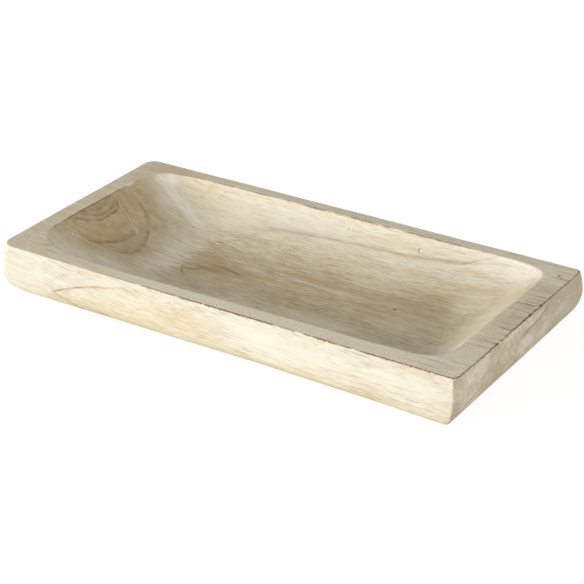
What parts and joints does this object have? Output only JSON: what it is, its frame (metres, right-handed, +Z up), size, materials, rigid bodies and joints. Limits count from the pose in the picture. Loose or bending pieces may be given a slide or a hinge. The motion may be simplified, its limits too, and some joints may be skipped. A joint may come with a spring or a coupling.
{
  "type": "carved wooden tray",
  "caption": "Rectangular tray carved from one thick wooden plank, with a long shallow basin, sloped ends and small felt feet.",
  "frame": {"origin": "centre of the surface that the tray stands on, under the middle of its outline", "axes": "+X along the tray's length towards its right end, +Y towards its back, +Z up"},
  "size_m": [0.4, 0.2, 0.04],
  "materials": {
    "whitewashed_wood": "matt whitewash rubbed into open-pored pale wood",
    "grey_felt": "pressed wool felt"
  },
  "bodies": {
    "root": {"tray_body": "whitewashed_wood", "felt_foot_front_left": "grey_felt", "felt_foot_front_right": "grey_felt", "felt_foot_back_left": "grey_felt", "felt_foot_back_right": "grey_felt"}
  },
  "joints": []
}
